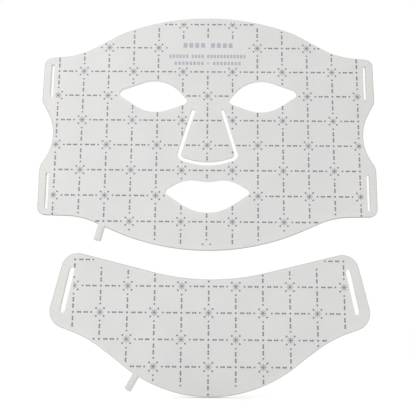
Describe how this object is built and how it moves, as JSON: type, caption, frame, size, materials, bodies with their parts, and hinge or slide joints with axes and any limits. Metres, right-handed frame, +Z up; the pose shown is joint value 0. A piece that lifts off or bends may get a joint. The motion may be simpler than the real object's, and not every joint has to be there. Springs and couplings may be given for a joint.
{
  "type": "led face mask",
  "caption": "Flexible silicone light-treatment set: face panel with eye, nose and mouth openings, and a curved neck panel, each with strap slots and a lead socket.",
  "frame": {"origin": "between the brows on the skin side of the face panel, on its centre line, midway between two rows of LEDs", "axes": "+X across the face to the right seen from the printed front, +Y from the printed front towards the skin, +Z up the face"},
  "size_m": [0.3, 0.0046, 0.3379],
  "materials": {
    "front_silicone": "satin",
    "rear_silicone": "satin",
    "tail_silicone": "satin",
    "flex_film": "matte",
    "red_led": "gloss",
    "infrared_led": "gloss",
    "resistor": "matte",
    "contact_metal": "satin",
    "wire": "satin"
  },
  "bodies": {
    "face_centre": {"face_centre_flex_circuit": "flex_film", "face_centre_front_sheet": "front_silicone", "face_centre_infrared_leds": "red_led", "face_centre_rear_sheet": "rear_silicone", "face_centre_red_leds": "red_led", "face_centre_resistors": "resistor"},
    "face_left_wing": {"face_left_wing_flex_circuit": "flex_film", "face_left_wing_front_sheet": "front_silicone", "face_left_wing_infrared_leds": "red_led", "face_left_wing_rear_sheet": "rear_silicone", "face_left_wing_red_leds": "red_led", "face_socket_tube": "contact_metal", "face_tail_sleeve": "tail_silicone", "face_tail_wires": "wire", "face_tip_contact": "contact_metal"},
    "face_right_wing": {"face_right_wing_flex_circuit": "flex_film", "face_right_wing_front_sheet": "front_silicone", "face_right_wing_infrared_leds": "red_led", "face_right_wing_rear_sheet": "rear_silicone", "face_right_wing_red_leds": "red_led"},
    "face_left_edge": {"face_left_edge_flex_circuit": "flex_film", "face_left_edge_front_sheet": "front_silicone", "face_left_edge_infrared_leds": "red_led", "face_left_edge_rear_sheet": "rear_silicone", "face_left_edge_red_leds": "red_led"},
    "face_right_edge": {"face_right_edge_flex_circuit": "flex_film", "face_right_edge_front_sheet": "front_silicone", "face_right_edge_infrared_leds": "red_led", "face_right_edge_rear_sheet": "rear_silicone", "face_right_edge_red_leds": "red_led"},
    "nose_flap": {"nose_flap_flex_circuit": "flex_film", "nose_flap_front_sheet": "front_silicone", "nose_flap_infrared_leds": "red_led", "nose_flap_rear_sheet": "rear_silicone", "nose_flap_red_leds": "red_led"},
    "neck_centre": {"neck_centre_flex_circuit": "flex_film", "neck_centre_front_sheet": "front_silicone", "neck_centre_infrared_leds": "red_led", "neck_centre_rear_sheet": "rear_silicone", "neck_centre_red_leds": "red_led", "neck_centre_resistors": "resistor"},
    "neck_left": {"neck_left_flex_circuit": "flex_film", "neck_left_front_sheet": "front_silicone", "neck_left_infrared_leds": "red_led", "neck_left_rear_sheet": "rear_silicone", "neck_left_red_leds": "red_led", "neck_socket_tube": "contact_metal", "neck_tail_sleeve": "tail_silicone", "neck_tail_wires": "wire", "neck_tip_contact": "contact_metal"},
    "neck_right": {"neck_right_flex_circuit": "flex_film", "neck_right_front_sheet": "front_silicone", "neck_right_infrared_leds": "red_led", "neck_right_rear_sheet": "rear_silicone", "neck_right_red_leds": "red_led"}
  },
  "joints": [
    {"name": "face_left_wing_bend", "type": "hinge", "parent": "face_centre", "child": "face_left_wing", "pos_m": [-0.0564, 0, 0], "axis": [0, 0, -1], "range_deg": [0, 42], "stiffness_Nm_per_rad": 0.06},
    {"name": "face_right_wing_bend", "type": "hinge", "parent": "face_centre", "child": "face_right_wing", "pos_m": [0.0564, 0, 0], "axis": [0, 0, 1], "range_deg": [0, 42], "stiffness_Nm_per_rad": 0.06},
    {"name": "face_left_edge_bend", "type": "hinge", "parent": "face_left_wing", "child": "face_left_edge", "pos_m": [-0.10152, 0, 0], "axis": [0, 0, -1], "range_deg": [0, 38], "stiffness_Nm_per_rad": 0.05},
    {"name": "face_right_edge_bend", "type": "hinge", "parent": "face_right_wing", "child": "face_right_edge", "pos_m": [0.10152, 0, 0], "axis": [0, 0, 1], "range_deg": [0, 38], "stiffness_Nm_per_rad": 0.05},
    {"name": "nose_flap_lift", "type": "hinge", "parent": "face_centre", "child": "nose_flap", "pos_m": [0, -0.0034, -0.0256], "axis": [-1, 0, 0], "range_deg": [0, 45], "stiffness_Nm_per_rad": 0.01},
    {"name": "neck_set_back", "type": "slide", "parent": "face_centre", "child": "neck_centre", "axis": [0, 1, 0], "range_m": [0, 0.06]},
    {"name": "neck_left_bend", "type": "hinge", "parent": "neck_centre", "child": "neck_left", "pos_m": [-0.032, 0, 0], "axis": [0, 0, -1], "range_deg": [0, 50], "stiffness_Nm_per_rad": 0.06},
    {"name": "neck_right_bend", "type": "hinge", "parent": "neck_centre", "child": "neck_right", "pos_m": [0.0376, 0, 0], "axis": [0, 0, 1], "range_deg": [0, 50], "stiffness_Nm_per_rad": 0.06}
  ]
}
